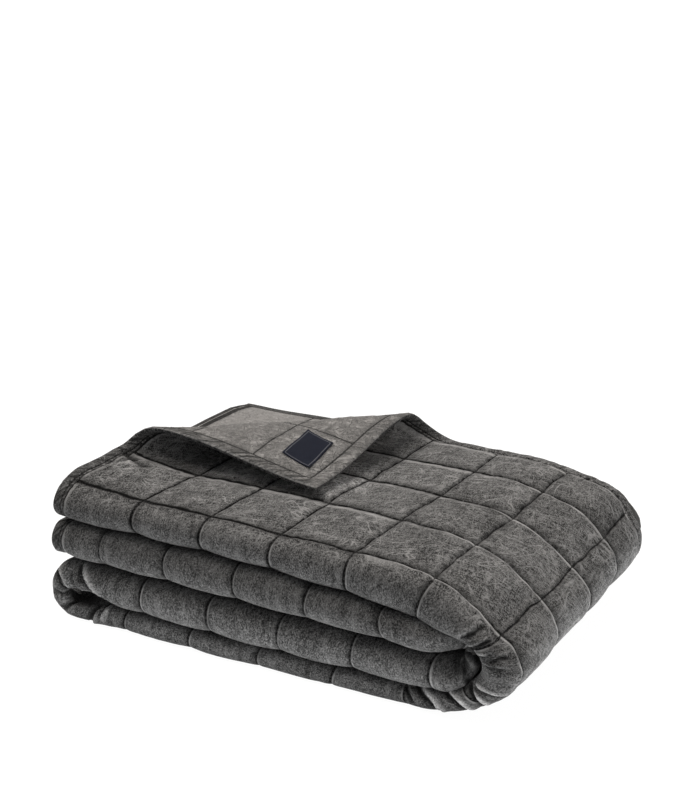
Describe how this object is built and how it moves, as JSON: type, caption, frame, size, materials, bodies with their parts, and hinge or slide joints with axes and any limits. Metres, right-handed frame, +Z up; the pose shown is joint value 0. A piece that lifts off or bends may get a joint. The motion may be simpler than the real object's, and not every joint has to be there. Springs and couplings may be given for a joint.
{
  "type": "folded quilted bedspread",
  "caption": "Quilted velvet bedspread folded into a soft stack, with one top corner turned back to show its paler back cloth and a small sewn label.",
  "frame": {"origin": "middle of the folded stack's underside, on the surface it rests on", "axes": "+X along the long front edge towards the wrapped end, +Y towards the back hems, +Z up"},
  "size_m": [0.6471, 0.4987, 0.2259],
  "materials": {
    "quilted_cloth": "stone-washed charcoal velvet with a fine nap, square quilting and a paler taupe back cloth",
    "label_cloth": "flat woven navy label, plain"
  },
  "bodies": {
    "root": {"quilt": "quilted_cloth", "label": "label_cloth"}
  },
  "joints": []
}
